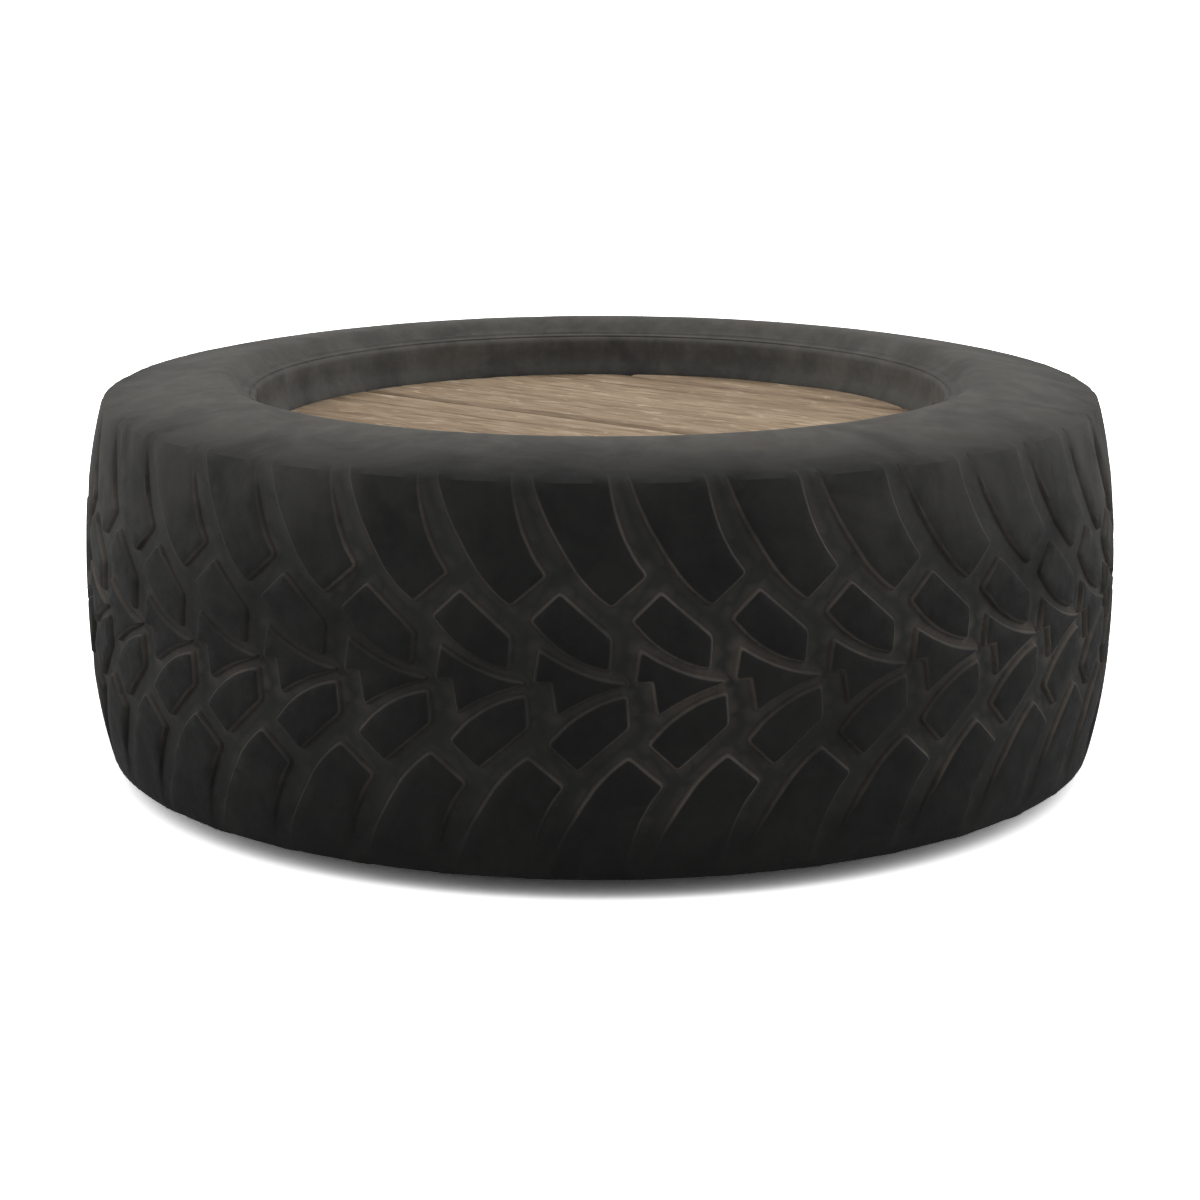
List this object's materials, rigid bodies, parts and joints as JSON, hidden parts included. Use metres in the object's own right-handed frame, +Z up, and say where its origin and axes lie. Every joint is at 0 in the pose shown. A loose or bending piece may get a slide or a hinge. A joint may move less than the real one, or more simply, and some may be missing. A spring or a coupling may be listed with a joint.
{
  "type": "old worn tyre with a wooden top",
  "caption": "Worn road tyre lying on its side, with a round weathered plank board wedged into its upper bead.",
  "frame": {"origin": "on the ground, on the tyre's axis", "axes": "+Z up along the tyre's axis; -Y is the front, towards the viewer"},
  "size_m": [0.654, 0.654, 0.25],
  "materials": {
    "worn_rubber": "matte, dusty",
    "weathered_planks": "bare, weathered",
    "batten_wood": "bare, rough sawn",
    "screw_steel": "dull, rusty"
  },
  "bodies": {
    "root": {"tyre": "worn_rubber", "plank_1": "weathered_planks", "plank_2": "weathered_planks", "plank_3": "weathered_planks", "plank_4": "weathered_planks", "batten_1": "batten_wood", "batten_2": "batten_wood", "screws": "screw_steel"}
  },
  "joints": []
}
